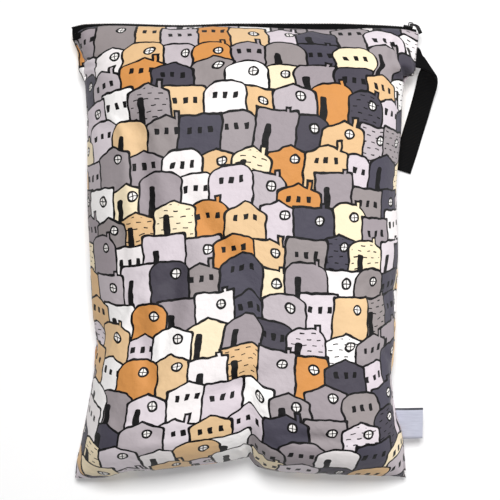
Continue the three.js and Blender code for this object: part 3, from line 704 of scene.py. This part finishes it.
# Each step is one Math node: its name, what it does, and the names or numbers that it works on.
house_steps = [
    # Which house of this layer could cover the place, and its place within that house.
    ("rows up", "DIVIDE", "y", row_height),
    ("row here", "FLOOR", "rows up"),
    ("row", "ADD", "row here", "shift"),
    ("row offset", "MULTIPLY", "row random", column_width * 2.0),
    ("x in row", "ADD", "x", "row offset"),
    ("columns", "DIVIDE", "x in row", column_width),
    ("from parity", "SUBTRACT", "columns", "parity"),
    ("half of it", "MULTIPLY", "from parity", 0.5),
    ("whole", "ROUND", "half of it"),
    ("column", "MULTIPLY_ADD", "whole", 2.0, "parity"),
    ("column x", "MULTIPLY", "column", column_width),
    ("row y", "MULTIPLY", "row", row_height),
    ("off x", "SUBTRACT", "x in row", "column x"),
    ("above", "SUBTRACT", "y", "row y"),
    # Its outline: walls that lean a little, a gabled, rounded or flat roof, and a chimney on some.
    ("nudge", "MULTIPLY_ADD", "chance 5", 3.0, -1.5),
    ("lean", "MULTIPLY_ADD", "chance 6", 0.14, -0.07),
    ("leaning", "MULTIPLY_ADD", "above", "lean", "nudge"),
    ("off", "SUBTRACT", "off x", "leaning"),
    ("away", "ABSOLUTE", "off"),
    ("half width", "MULTIPLY_ADD", "chance 0", 2.2, 15.0),
    ("top", "MULTIPLY_ADD", "chance 1", 9.5, 29.0),
    ("below top", "SUBTRACT", "top", "above"),
    ("gable drop", "MULTIPLY", "away", 0.42),
    ("share out", "DIVIDE", "away", "half width"),
    ("share cubed", "POWER", "share out", 3.0),
    ("round drop", "MULTIPLY", "share cubed", 8.0),
    ("is gabled", "LESS_THAN", "chance 2", 0.45),
    ("is round", "GREATER_THAN", "chance 2", 0.72),
    ("gable share", "MULTIPLY", "gable drop", "is gabled"),
    ("roof drop", "MULTIPLY_ADD", "round drop", "is round", "gable share"),
    ("under roof", "SUBTRACT", "below top", "roof drop"),
    ("inside wall", "SUBTRACT", "half width", "away"),
    ("in walls", "SMOOTH_MIN", "inside wall", "under roof", 3.0),
    ("chimney off", "SUBTRACT", "off", 8.0),
    ("chimney away", "ABSOLUTE", "chimney off"),
    ("in chimney sides", "SUBTRACT", 2.6, "chimney away"),
    ("chimney height", "ADD", "below top", 2.5),
    ("in chimney", "MINIMUM", "in chimney sides", "chimney height"),
    ("has chimney", "GREATER_THAN", "chance 7", 0.72),
    ("no chimney", "MULTIPLY_ADD", "has chimney", out_of_sight, -out_of_sight),
    ("chimney", "ADD", "in chimney", "no chimney"),
    ("inside", "MAXIMUM", "in walls", "chimney"),
    ("covers", "GREATER_THAN", "inside", 0.0),
    ("outline", "LESS_THAN", "inside", outline_width),
    # What is drawn on it: three windows, an arched door at one side, a round barred window, or bricks.
    ("window 1", "SUBTRACT", "away", 3.6),
    ("window 2", "ABSOLUTE", "window 1"),
    ("window 3", "SUBTRACT", "window 2", 3.6),
    ("window 4", "ABSOLUTE", "window 3"),
    ("window out", "SUBTRACT", "window 4", 1.6),
    ("window line", "SUBTRACT", "below top", 12.5),
    ("window tall", "ABSOLUTE", "window line"),
    ("window over", "SUBTRACT", "window tall", 2.4),
    ("window", "SMOOTH_MAX", "window out", "window over", 0.8),
    ("door off", "ADD", "off", 6.0),
    ("door away", "ABSOLUTE", "door off"),
    ("door out", "SUBTRACT", "door away", 2.5),
    ("door over", "SUBTRACT", 11.5, "below top"),
    ("door", "SMOOTH_MAX", "door out", "door over", 3.0),
    ("round off", "SUBTRACT", "off", 4.5),
    ("round up", "SUBTRACT", "below top", 10.5),
    ("round off squared", "MULTIPLY", "round off", "round off"),
    ("round squared", "MULTIPLY_ADD", "round up", "round up", "round off squared"),
    ("round away", "SQRT", "round squared"),
    ("round edge", "SUBTRACT", "round away", 3.3),
    ("ring away", "ABSOLUTE", "round edge"),
    ("ring", "SUBTRACT", "ring away", 0.75),
    ("bar off", "ABSOLUTE", "round off"),
    ("bar up", "ABSOLUTE", "round up"),
    ("bars", "MINIMUM", "bar off", "bar up"),
    ("thin bars", "SUBTRACT", "bars", 0.34),
    ("bars inside", "MAXIMUM", "thin bars", "round edge"),
    ("round window", "MINIMUM", "ring", "bars inside"),
    ("course", "DIVIDE", "below top", 4.4),
    ("course here", "ROUND", "course"),
    ("course off", "SUBTRACT", "course", "course here"),
    ("course away", "ABSOLUTE", "course off"),
    ("brick over", "MULTIPLY_ADD", "course away", 4.4, -0.42),
    ("brick shift", "MULTIPLY_ADD", "course here", 3.3, "off"),
    ("brick wrap", "WRAP", "brick shift", 4.0, -4.0),
    ("brick away", "ABSOLUTE", "brick wrap"),
    ("brick out", "SUBTRACT", "brick away", 1.7),
    ("brick", "MAXIMUM", "brick over", "brick out"),
    ("brick edge", "SUBTRACT", 3.0, "in walls"),
    ("bricks", "MAXIMUM", "brick", "brick edge"),
    ("has windows", "LESS_THAN", "chance 3", 0.34),
    ("not door", "GREATER_THAN", "chance 3", 0.62),
    ("not round", "LESS_THAN", "chance 3", 0.58),
    ("few bricks", "LESS_THAN", "chance 8", 0.84),
    ("no bricks", "MAXIMUM", "few bricks", "has windows"),
    ("no windows", "SUBTRACT", 1.0, "has windows"),
    ("windows kept", "MULTIPLY_ADD", "no windows", out_of_sight, "window"),
    ("door kept 1", "MULTIPLY_ADD", "has windows", out_of_sight, "door"),
    ("door kept", "MULTIPLY_ADD", "not door", out_of_sight, "door kept 1"),
    ("round kept", "MULTIPLY_ADD", "not round", out_of_sight, "round window"),
    ("bricks kept", "MULTIPLY_ADD", "no bricks", out_of_sight, "bricks"),
    ("marks 1", "MINIMUM", "windows kept", "door kept"),
    ("marks 2", "MINIMUM", "round kept", "bricks kept"),
    ("marks", "MINIMUM", "marks 1", "marks 2"),
    ("marked", "LESS_THAN", "marks", 0.0),
    ("ink", "MAXIMUM", "outline", "marked"),
    ("in round", "LESS_THAN", "round edge", 0.0),
    ("has round", "SUBTRACT", 1.0, "not round"),
    ("pane", "MULTIPLY", "in round", "has round"),
    # Its colour steps through the list from house to house, so that neighbours are seldom alike.
    ("row steps", "MULTIPLY", "row", 4.0),
    ("colour steps", "MULTIPLY_ADD", "column", 3.0, "row steps"),
    ("colour step", "MULTIPLY_ADD", "chance 4", 1.9, "colour steps"),
    ("colour share", "DIVIDE", "colour step", float(len(print_colours))),
    ("colour place", "FRACT", "colour share"),
]
for name, operation, *values in house_steps:
    inputs = {i: found.get(value, value) for i, value in enumerate(values)}
    found[name] = add_node(house, "ShaderNodeMath", inputs, operation=operation).outputs[0]
set_inputs(row_random, {"W": found["row"]})
for cell in cells:
    set_inputs(cell, {"X": found["column"], "Y": found["row"]})

ramp = add_node(house, "ShaderNodeValToRGB", {"Fac": found["colour place"]})
ramp.color_ramp.interpolation = "CONSTANT"
stops = ramp.color_ramp.elements
while len(stops) < len(print_colours):
    stops.new(0.5)
for i, colour in enumerate(print_colours):
    stops[i].position = i / len(print_colours)
    stops[i].color = linear(colour)
layer_colour = ramp.outputs["Color"]
for share, colour in (("pane", "#fbf7f4"), ("ink", "#060507")):
    inputs = {"Factor": found[share], 6: layer_colour, 7: linear(colour)}
    layer_colour = add_node(house, "ShaderNodeMix", inputs, data_type="RGBA").outputs[2]
inputs = {"Factor": found["covers"], 6: house_in.outputs["Behind"], 7: layer_colour}
over_behind = add_node(house, "ShaderNodeMix", inputs, data_type="RGBA")
add_node(house, "NodeGroupOutput", {"Colour": over_behind.outputs[2]})

# Matt cloth. Its lines waver as a drawn line does. The threads are 0.2 mm apart and would not show, so
# the weave is drawn at 0.9 mm.
cloth_material, cloth, cloth_surface = new_material("printed_woven_polyester")
cloth_uv = add_node(cloth, "ShaderNodeUVMap", uv_map="flat_cloth")
inputs = {"Vector": cloth_uv.outputs[0], "Scale": (1.0 / print_unit, 1.0 / print_unit, 1.0)}
print_place = add_node(cloth, "ShaderNodeMapping", inputs)
inputs = {"Vector": print_place.outputs[0], "Scale": 0.11, "Detail": 1.0, "Roughness": 0.5}
wobble = add_node(cloth, "ShaderNodeTexNoise", inputs, noise_dimensions="2D")
inputs = {0: wobble.outputs["Color"], 1: (0.5, 0.5, 0.5)}
wobble_way = add_node(cloth, "ShaderNodeVectorMath", inputs, operation="SUBTRACT")
inputs = {0: wobble_way.outputs[0], 1: (2.6, 2.6, 0.0), 2: print_place.outputs[0]}
wobbled = add_node(cloth, "ShaderNodeVectorMath", inputs, operation="MULTIPLY_ADD")
printed = linear("#e8dde6")
for shift in (1.0, 0.0, -1.0):
    for parity in (0.0, 1.0):
        layer = add_node(cloth, "ShaderNodeGroup", node_tree=house)
        inputs = {"Place": wobbled.outputs[0], "Row shift": shift, "Parity": parity, "Behind": printed}
        set_inputs(layer, inputs)
        printed = layer.outputs["Colour"]
weave_height = 0.5
for direction in ("X", "Y"):
    inputs = {"Vector": print_place.outputs[0], "Scale": 0.4, "Distortion": 0.6, "Detail": 1.0}
    threads = add_node(cloth, "ShaderNodeTexWave", inputs, bands_direction=direction)
    inputs = {0: threads.outputs["Fac"], 1: 0.5, 2: weave_height}
    weave_height = add_node(cloth, "ShaderNodeMath", inputs, operation="MULTIPLY_ADD").outputs[0]
inputs = {"Vector": print_place.outputs[0], "Scale": 0.16, "Detail": 3.0}
soft_noise = add_node(cloth, "ShaderNodeTexNoise", inputs).outputs["Fac"]
inputs = {"Height": weave_height, "Strength": 0.12, "Distance": 0.0002}
weave_bump = add_node(cloth, "ShaderNodeBump", inputs).outputs[0]
inputs = {"Height": soft_noise, "Normal": weave_bump, "Strength": 0.5, "Distance": 0.002}
slack_bump = add_node(cloth, "ShaderNodeBump", inputs)
set_inputs(cloth_surface, {
    "Base Color": printed,
    "Normal": slack_bump.outputs[0],
    "Roughness": 0.62,
    "IOR": 1.45,
    "Specular IOR Level": 0.3,
    "Sheen Weight": 0.02,
    "Sheen Roughness": 0.5,
})

for face, piece in panels.items():
    piece.data.materials.append(cloth_material)
    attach(piece, "bag")
    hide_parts(face + "_panel")


# The zipper's tapes. Black woven polyester tape, lapped under each panel's edge and sewn to it. The two
# turn round the blunt nose at the top of the bag and meet at the coil.

tape_wall = 0.0009
tape_lap = 0.008
tape_inset = cloth_wall + seam_gap
coil_width = 0.0048
coil_depth = 0.0024
tape_columns = 120
nose_steps = 10
nose_bulge = 0.65
nose_turn = 0.3
probe = 0.0004
band_repeat = 0.314


def coil_middle(across):
    height = (edge_height("front", across, 1.0) + edge_height("back", across, 1.0)) / 2.0
    return np.stack([plan_x(across, 1.0), coil_tip(across) - coil_depth / 2.0, height], axis=-1)


def woven_material(name, base, pale, pitch, spec):
    """Narrow woven goods. Their slanting ribs stand two pitches apart along the ribbon, drawn about twice
    as coarse as the real ones so that they show."""
    material, tree, surface = new_material(name)
    uv = add_node(tree, "ShaderNodeUVMap", uv_map="flat_cloth").outputs[0]
    inputs = {"Vector": uv, "Scale": band_repeat / pitch, "Distortion": 0.4, "Detail": 1.0}
    ribs = add_node(tree, "ShaderNodeTexWave", inputs, bands_direction="DIAGONAL").outputs["Fac"]
    fuzz = add_node(tree, "ShaderNodeTexNoise", {"Vector": uv, "Scale": 900.0, "Detail": 3.0})
    share = add_node(tree, "ShaderNodeMath", {0: ribs, 1: fuzz.outputs["Fac"]}, operation="MULTIPLY")
    inputs = {"Factor": share.outputs[0], 6: linear(base), 7: linear(pale)}
    colour = add_node(tree, "ShaderNodeMix", inputs, data_type="RGBA")
    bump = add_node(tree, "ShaderNodeBump", {"Height": ribs, "Strength": 0.5, "Distance": 0.0003})
    set_inputs(surface, {
        "Base Color": colour.outputs[2],
        "Normal": bump.outputs[0],
        "Roughness": 0.78,
        "Specular IOR Level": spec,
        "Sheen Weight": 0.02,
    })
    return material


tape_material = woven_material("woven_zipper_tape", "#040405", "#09090a", 0.0012, 0.12)
tape_s = np.linspace(tape_inset / bag_width, 1.0 - tape_inset / bag_width, tape_columns + 1)
for face, way in (("front", 1.0), ("back", -1.0)):
    lap_t = 1.0 - np.array([tape_lap, tape_lap * 0.5, 0.0]) / bag_length
    lap_s, lap_t = np.meshgrid(tape_s, lap_t)
    panel_here = panel_points(face, lap_s, lap_t)
    along_x = panel_points(face, lap_s + probe, lap_t) - panel_points(face, lap_s - probe, lap_t)
    along_y = panel_here - panel_points(face, lap_s, lap_t - probe)
    lap_normal = unit(np.cross(along_x, along_y)) * way
    outer_rows = list(panel_here - lap_normal * (cloth_wall + seam_gap))
    inner_rows = list(panel_here - lap_normal * (cloth_wall + seam_gap + tape_wall))
    middle = coil_middle(tape_s)
    start = outer_rows[-1]
    end_y = middle[:, 1] + tape_wall / 2.0
    end_z = middle[:, 2] + way * (coil_width / 2.0 + seam_gap)
    end = np.stack([start[:, 0], end_y, end_z], axis=-1)
    bend_z = middle[:, 2] + way * nose_bulge * nose_half_at(tape_s)
    bend = np.stack([start[:, 0], mix(start[:, 1], end_y, nose_turn), bend_z], axis=-1)
    for k in range(1, nose_steps + 1):
        share = k / nose_steps
        point = (1 - share) ** 2 * start + 2 * share * (1 - share) * bend + share**2 * end
        tangent = unit((1 - share) * (bend - start) + share * (end - bend))
        inward = np.stack([tangent[:, 0] * 0.0, way * tangent[:, 2], -way * tangent[:, 1]], axis=-1)
        if k == nose_steps:
            inward = np.tile([0.0, -1.0, 0.0], (len(tape_s), 1))
        outer_rows.append(point)
        inner_rows.append(point + inward * tape_wall)
    outer = np.array(outer_rows)
    along = np.cumsum(np.pad(steps_along(outer), ((1, 0), (0, 0))), axis=0)
    flat = np.stack([np.broadcast_to(tape_s * bag_width, along.shape), along], axis=-1)
    tape = cloth_shell("tape_" + face, outer, np.array(inner_rows), flat, face == "front")
    tape.data.materials.append(tape_material)
    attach(tape, "bag")
    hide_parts("zipper_tape_" + face)


# The coil. Black nylon wire, wound and flattened, whose two halves interlock. It runs along the top of
# the nose, and each of its turns stands a little apart from the next.

tooth_pitch = 0.0015
turn_thickness = 0.0011
turn_slant = 0.16
turn_growth = 1.22
coil_end = 0.0004
coil_points = 160
coil_low, coil_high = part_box("zipper_coil")


def across_at_x(x):
    return (x - left_x(1.0)) / (right_x(1.0) - left_x(1.0))


coil_x = np.linspace(coil_low[0] + coil_end, coil_high[0] - coil_end, coil_points)
coil_line = coil_middle(across_at_x(coil_x))
coil_curve = bpy.data.curves.new("coil_line", "CURVE")
coil_curve.dimensions = "3D"
spline = coil_curve.splines.new("POLY")
spline.points.add(len(coil_line) - 1)
spline.points.foreach_set("co", np.pad(coil_line, ((0, 0), (0, 1)), constant_values=1.0).reshape(-1))
coil_guide = new_object("coil_line", coil_curve)


def uneven_gloss(tree, scale, detail, low, high):
    """A fine noise over a piece, and a roughness from low to high that follows it."""
    place = add_node(tree, "ShaderNodeTexCoord").outputs["Object"]
    inputs = {"Vector": place, "Scale": scale, "Detail": detail}
    noise = add_node(tree, "ShaderNodeTexNoise", inputs).outputs["Fac"]
    inputs = {"Value": noise, "To Min": low, "To Max": high}
    return noise, add_node(tree, "ShaderNodeMapRange", inputs).outputs[0]


# Smooth nylon wire, with the slight unevenness of moulded plastic in its gloss.
nylon_material, nylon, nylon_surface = new_material("black_nylon_coil")
set_inputs(nylon_surface, {
    "Base Color": linear("#050506"),
    "Roughness": uneven_gloss(nylon, 700.0, 2.0, 0.34, 0.5)[1],
    "IOR": 1.53,
    "Specular IOR Level": 0.4,
})

teeth = bpy.data.node_groups.new("coil_turns", "GeometryNodeTree")
for name, kind, way in (
    ("Geometry", "NodeSocketGeometry", "INPUT"),
    ("Pitch", "NodeSocketFloat", "INPUT"),
    ("Width", "NodeSocketFloat", "INPUT"),
    ("Depth", "NodeSocketFloat", "INPUT"),
    ("Geometry", "NodeSocketGeometry", "OUTPUT"),
):
    teeth.interface.new_socket(name=name, in_out=way, socket_type=kind)
teeth_in = add_node(teeth, "NodeGroupInput")
inputs = {"Curve": teeth_in.outputs["Geometry"], "Length": teeth_in.outputs["Pitch"]}
turn_points = add_node(teeth, "GeometryNodeCurveToPoints", inputs, mode="LENGTH")
inputs = {"X": teeth_in.outputs["Depth"], "Y": teeth_in.outputs["Width"], "Z": turn_thickness}
turn_size = add_node(teeth, "ShaderNodeCombineXYZ", inputs)
turn_block = add_node(teeth, "GeometryNodeMeshCube", {"Size": turn_size.outputs[0]})
turn_round = add_node(teeth, "GeometryNodeSubdivisionSurface", {"Mesh": turn_block.outputs[0], "Level": 2})
# Rounding draws the block in, so it grows again, and the turn leans as wound wire does.
inputs = {
    "Geometry": turn_round.outputs[0],
    "Scale": (turn_growth, turn_growth, turn_growth),
    "Rotation": (turn_slant, 0.0, 0.0),
}
turn_scale = add_node(teeth, "GeometryNodeTransform", inputs)
inputs = {
    "Points": turn_points.outputs["Points"],
    "Instance": turn_scale.outputs[0],
    "Rotation": turn_points.outputs["Rotation"],
}
turn_set = add_node(teeth, "GeometryNodeInstanceOnPoints", inputs)
turn_real = add_node(teeth, "GeometryNodeRealizeInstances", {"Geometry": turn_set.outputs[0]})
turn_smooth = add_node(teeth, "GeometryNodeSetShadeSmooth", {"Geometry": turn_real.outputs[0]})
inputs = {"Geometry": turn_smooth.outputs[0], "Material": nylon_material}
turn_material = add_node(teeth, "GeometryNodeSetMaterial", inputs)
add_node(teeth, "NodeGroupOutput", {"Geometry": turn_material.outputs[0]})


def plain_mesh(guide):
    """The plain mesh that a guide object's modifier makes of it. The guide is then removed."""
    evaluated = guide.evaluated_get(bpy.context.evaluated_depsgraph_get())
    mesh = bpy.data.meshes.new_from_object(evaluated)
    bpy.data.objects.remove(guide)
    return mesh


winding = coil_guide.modifiers.new("coil_turns", "NODES")
winding.node_group = teeth
turn_sizes = {"Pitch": tooth_pitch, "Width": coil_width, "Depth": coil_depth}
for socket in teeth.interface.items_tree:
    if socket.in_out == "INPUT" and socket.name in turn_sizes:
        winding[socket.identifier] = turn_sizes[socket.name]
coil = new_object("coil_turns", plain_mesh(coil_guide))
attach(coil, "bag")
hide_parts("zipper_coil")


# The slider and its pull. Small die castings with black enamel, rounded on every edge. The slider runs
# on the coil near the right end, and the pull turns on the slider's bridge.

enamel_edge = 0.00022

# Sprayed enamel over zinc, nearly matt, with a fine orange peel.
enamel_material, enamel, enamel_surface = new_material("black_enamel")
enamel_peel, enamel_roughness = uneven_gloss(enamel, 420.0, 3.0, 0.4, 0.56)
inputs = {"Height": enamel_peel, "Strength": 0.1, "Distance": 0.0001}
enamel_bump = add_node(enamel, "ShaderNodeBump", inputs)
set_inputs(enamel_surface, {
    "Base Color": linear("#040405"),
    "Roughness": enamel_roughness,
    "Normal": enamel_bump.outputs[0],
    "IOR": 1.5,
    "Specular IOR Level": 0.14,
    "Coat Weight": 0.03,
    "Coat Roughness": 0.15,
})

# The slider's rounding comes out under 0.001 mm wide in place of enamel_edge, so its edges stay sharp.
for node, name, body in (("zipper_slider", "slider", "bag"), ("zipper_pull", "pull", "pull_tab")):
    casting_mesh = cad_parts[node].data.copy()
    build = bmesh.new()
    build.from_mesh(casting_mesh)
    bmesh.ops.remove_doubles(build, verts=build.verts, dist=1e-6)
    bmesh.ops.dissolve_limit(build, angle_limit=math.radians(1.0), verts=build.verts, edges=build.edges)
    build.to_mesh(casting_mesh)
    build.free()
    casting = new_object(name + "_blank", casting_mesh)
    rounding = casting.modifiers.new("edges", "BEVEL")
    rounding.width = enamel_edge
    rounding.segments = 3
    rounding.limit_method = "ANGLE"
    rounding.angle_limit = math.radians(28.0)
    rounded = plain_mesh(casting)
    rounded.materials.clear()
    rounded.materials.append(enamel_material)
    rounded.polygons.foreach_set("use_smooth", [True] * len(rounded.polygons))
    piece = new_object(name, rounded)
    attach(piece, body)
    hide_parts(node)


# The wrist strap. Black 19 mm webbing, folded double and sewn into the right side seam by both ends. It
# comes out level, folds over on a slant and lies down beside the bag.

# How far out and down the strap's low and high edges lie, in widths of the webbing, and their rises as
# shares of the seam's: low out, low down, high out, high down, low rise, high rise.
strap_rows = np.array([
    (0.137, 0.524, 0.137, -0.455, 0.73, 0.73),
    (0.63, 0.69, 0.28, -0.137, 0.66, 0.72),
    (1.04, 0.98, 0.4, 0.14, 0.56, 0.68),
    (1.11, 1.21, 0.29, 0.475, 0.45, 0.6),
    (1.106, 1.36, 0.18, 0.76, 0.36, 0.5),
    (0.96, 1.9, 0.015, 1.55, 0.2, 0.29),
    (0.66, 3.0, -0.294, 2.7, 0.09, 0.12),
    (0.4, 3.85, -0.554, 3.55, 0.056, 0.066),
    (0.186, 4.56, -0.768, 4.26, 0.052, 0.052),
    (-0.15, 5.6, -1.1, 5.3, 0.052, 0.052),
])
strap_tuck = 0.003
strap_steps = 120
ribbon_columns = 10
turn_steps = 8


def sewn_start(up, width, tuck):
    """A ribbon's first two stations, in the seam and at its outer edge: their low and high edge."""
    stations = []
    for out in (-tuck, 0.0):
        pair = []
        for at in (up - width / 2.0 / bag_length, up + width / 2.0 / bag_length):
            edge = panel_points("front", np.array(1.0), np.array(at))
            pair.append([edge[0] + out, edge[1], seam_height(at)])
        stations.append(pair)
    return np.array(stations)


def resampled(stations, count):
    """Stations spread evenly along a smooth line through the given ones."""
    middle = stations.mean(axis=1)
    at = np.concatenate([[0.0], np.cumsum(steps_along(middle))])
    wanted = np.linspace(0.0, at[-1], count)
    i = np.clip(np.searchsorted(at, wanted, side="right") - 1, 0, len(at) - 2)
    slopes = np.gradient(stations, at, axis=0)
    span = (at[i + 1] - at[i])[:, None, None]
    share = ((wanted - at[i]) / (at[i + 1] - at[i]))[:, None, None]
    return curve_between(stations[i], stations[i + 1], span * slopes[i], span * slopes[i + 1], share)


def doubled_ribbon(name, stations, wall, slit):
    """A ribbon folded double: out along the stations, round its end and back below itself."""
    apart = (wall + slit) / 2.0
    middle = stations.mean(axis=1)
    along = unit(np.gradient(middle, axis=0))
    across = unit(stations[:, 1] - stations[:, 0])
    facing = unit(np.cross(along, across))
    shares = np.linspace(0.0, 1.0, ribbon_columns + 1)[None, :, None]
    centre = stations[:, :1] + (stations[:, 1:] - stations[:, :1]) * shares
    angles = np.linspace(0.0, np.pi, turn_steps + 1)[1:-1]
    turns = [facing[-1] * math.cos(a) + along[-1] * math.sin(a) for a in angles]
    centres = np.concatenate([centre, np.repeat(centre[-1:], len(turns), axis=0), centre[::-1]])
    ways = np.concatenate([facing, np.array(turns), -facing[::-1]])[:, None, :]
    outer = centres + ways * (apart + wall / 2.0)
    inner = centres + ways * (apart - wall / 2.0)
    length = np.concatenate([[0.0], np.cumsum(steps_along(outer.mean(axis=1)))])
    width = np.linalg.norm(stations[0, 1] - stations[0, 0])
    flat = np.stack(np.broadcast_arrays(shares[..., 0] * width, length[:, None]), axis=-1)
    return cloth_shell(name, outer, inner, flat, False), length[-1]


anchor = panel_points("front", np.array(1.0), np.array(strap_up))
strap_x = anchor[0] + strap_rows[:, 0:4:2] * webbing_width
strap_y = anchor[1] - strap_rows[:, 1:4:2] * webbing_width
strap_edges = np.stack([strap_x, strap_y, strap_rows[:, 4:] * seam_rise], axis=-1)
strap_stations = np.concatenate([sewn_start(strap_up, webbing_width, strap_tuck), strap_edges])
strap_stations = resampled(strap_stations, strap_steps)
strap, strap_length = doubled_ribbon("strap", strap_stations, webbing_wall, webbing_slit)
strap.data.materials.append(woven_material("black_webbing", "#040405", "#0c0c0d", 0.0018, 0.12))
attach(strap, "bag")
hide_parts("wrist_strap")


# The side label. A bare ribbon of pale satin, folded double and sewn into the right side seam. It stands
# out level and droops a little.

label_reach = 0.020
label_droop = 0.005
label_tuck = 0.0024
label_steps = 40
dark_upper_edge_width = 0.0006

label_stations = sewn_start(label_up, label_width, label_tuck)
label_end = right_x(label_up) + label_reach
label_share = np.linspace(0.0, 1.0, 9)[1:, None]
label_way = np.repeat(label_stations[-1:], len(label_share), axis=0)
label_way[..., 0] = mix(label_way[..., 0], label_end, label_share)
label_way[..., 2] -= label_droop * label_share**2
label_stations = np.concatenate([label_stations, label_way])
label_stations = resampled(label_stations, label_steps)
label, label_length = doubled_ribbon("label", label_stations, label_wall, label_slit)

# Woven satin: long floating threads give it a soft streaky gloss along the ribbon. That gloss is partly
# painted: a stretched noise mixes a grey with a paler grey-lilac as painted sheen in the colour, and the
# same noise makes a real bump.
satin_material, satin, satin_surface = new_material("pale_satin_ribbon")
satin_uv = add_node(satin, "ShaderNodeUVMap", uv_map="flat_cloth").outputs[0]
satin_stretch = add_node(satin, "ShaderNodeMapping", {"Vector": satin_uv, "Scale": (900.0, 90.0, 1.0)})
inputs = {"Vector": satin_stretch.outputs[0], "Scale": 1.0, "Detail": 3.0}
satin_threads_and_sheen = add_node(satin, "ShaderNodeTexNoise", inputs).outputs["Fac"]
# Painted sheen: paler grey-lilac streaks over the satin's own grey.
inputs = {"Factor": satin_threads_and_sheen, 6: linear("#a9abbc"), 7: linear("#cfd1df")}
satin_colour_and_sheen = add_node(satin, "ShaderNodeMix", inputs, data_type="RGBA")
# A dark line is drawn along the ribbon's upper edge.
satin_place = add_node(satin, "ShaderNodeSeparateXYZ", {0: satin_uv})
inputs = {0: satin_place.outputs["X"], 1: label_width - dark_upper_edge_width}
dark_upper_edge = add_node(satin, "ShaderNodeMath", inputs, operation="GREATER_THAN")
inputs = {"Factor": dark_upper_edge.outputs[0], 6: satin_colour_and_sheen.outputs[2], 7: linear("#2c2e3a")}
satin_edged = add_node(satin, "ShaderNodeMix", inputs, data_type="RGBA")
inputs = {"Height": satin_threads_and_sheen, "Strength": 0.15, "Distance": 0.0001}
satin_bump = add_node(satin, "ShaderNodeBump", inputs)
set_inputs(satin_surface, {
    "Base Color": satin_edged.outputs[2],
    "Normal": satin_bump.outputs[0],
    "Roughness": 0.42,
    "Sheen Weight": 0.2,
    "Anisotropic": 0.4,
})
label.data.materials.append(satin_material)
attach(label, "bag")
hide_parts("side_label")


# The studio. A plain white floor, soft light from the top of the picture and from the right, and a
# camera straight above, far enough away to see the bag nearly without perspective.

view_height = 2.2
view_across = 0.465
focus_height = 0.026

floor_half = 4.0
floor_z = -0.0006
floor_mesh = bpy.data.meshes.new("floor")
floor_corners = [(x * floor_half, y * floor_half, floor_z) for x, y in ((-1, -1), (1, -1), (1, 1), (-1, 1))]
floor_mesh.from_pydata(floor_corners, [], [(0, 1, 2, 3)])
floor = new_object("floor", floor_mesh)
floor_material, _, paper_surface = new_material("white_paper")
set_inputs(paper_surface, {"Base Color": linear("#fafafa"), "Roughness": 0.9, "Specular IOR Level": 0.1})
floor_mesh.materials.append(floor_material)

# Place, the point that it looks at, size, watts and whether it casts a shadow.
for name, place, target, size, watts, shadow in (
    ("window", (0.0, 1.15, 3.8), (0.0, 0.0, 0.0), 1.2, 125.0, True),
    ("key", (1.9, 0.4, 1.6), (0.05, 0.0, 0.05), 0.9, 26.0, False),
):
    light = bpy.data.lights.new(name, "AREA")
    light.size = size
    light.energy = watts
    light.use_shadow = shadow
    lamp = new_object(name, light)
    lamp.location = place
    lamp.rotation_euler = (Vector(target) - Vector(place)).to_track_quat("-Z", "Y").to_euler()

world = bpy.data.worlds.new("studio")
world.use_nodes = True
background = world.node_tree.nodes["Background"]
background.inputs["Color"].default_value = linear("#ffffff")
background.inputs["Strength"].default_value = 0.12
scene.world = world
scene.view_settings.view_transform = "Standard"

camera_data = bpy.data.cameras.new("camera")
camera_data.sensor_width = 36.0
camera_data.lens = 36.0 * (view_height - focus_height) / view_across
camera = new_object("camera", camera_data)
camera.location = (0.0065, 0.0014, view_height)
scene.camera = camera
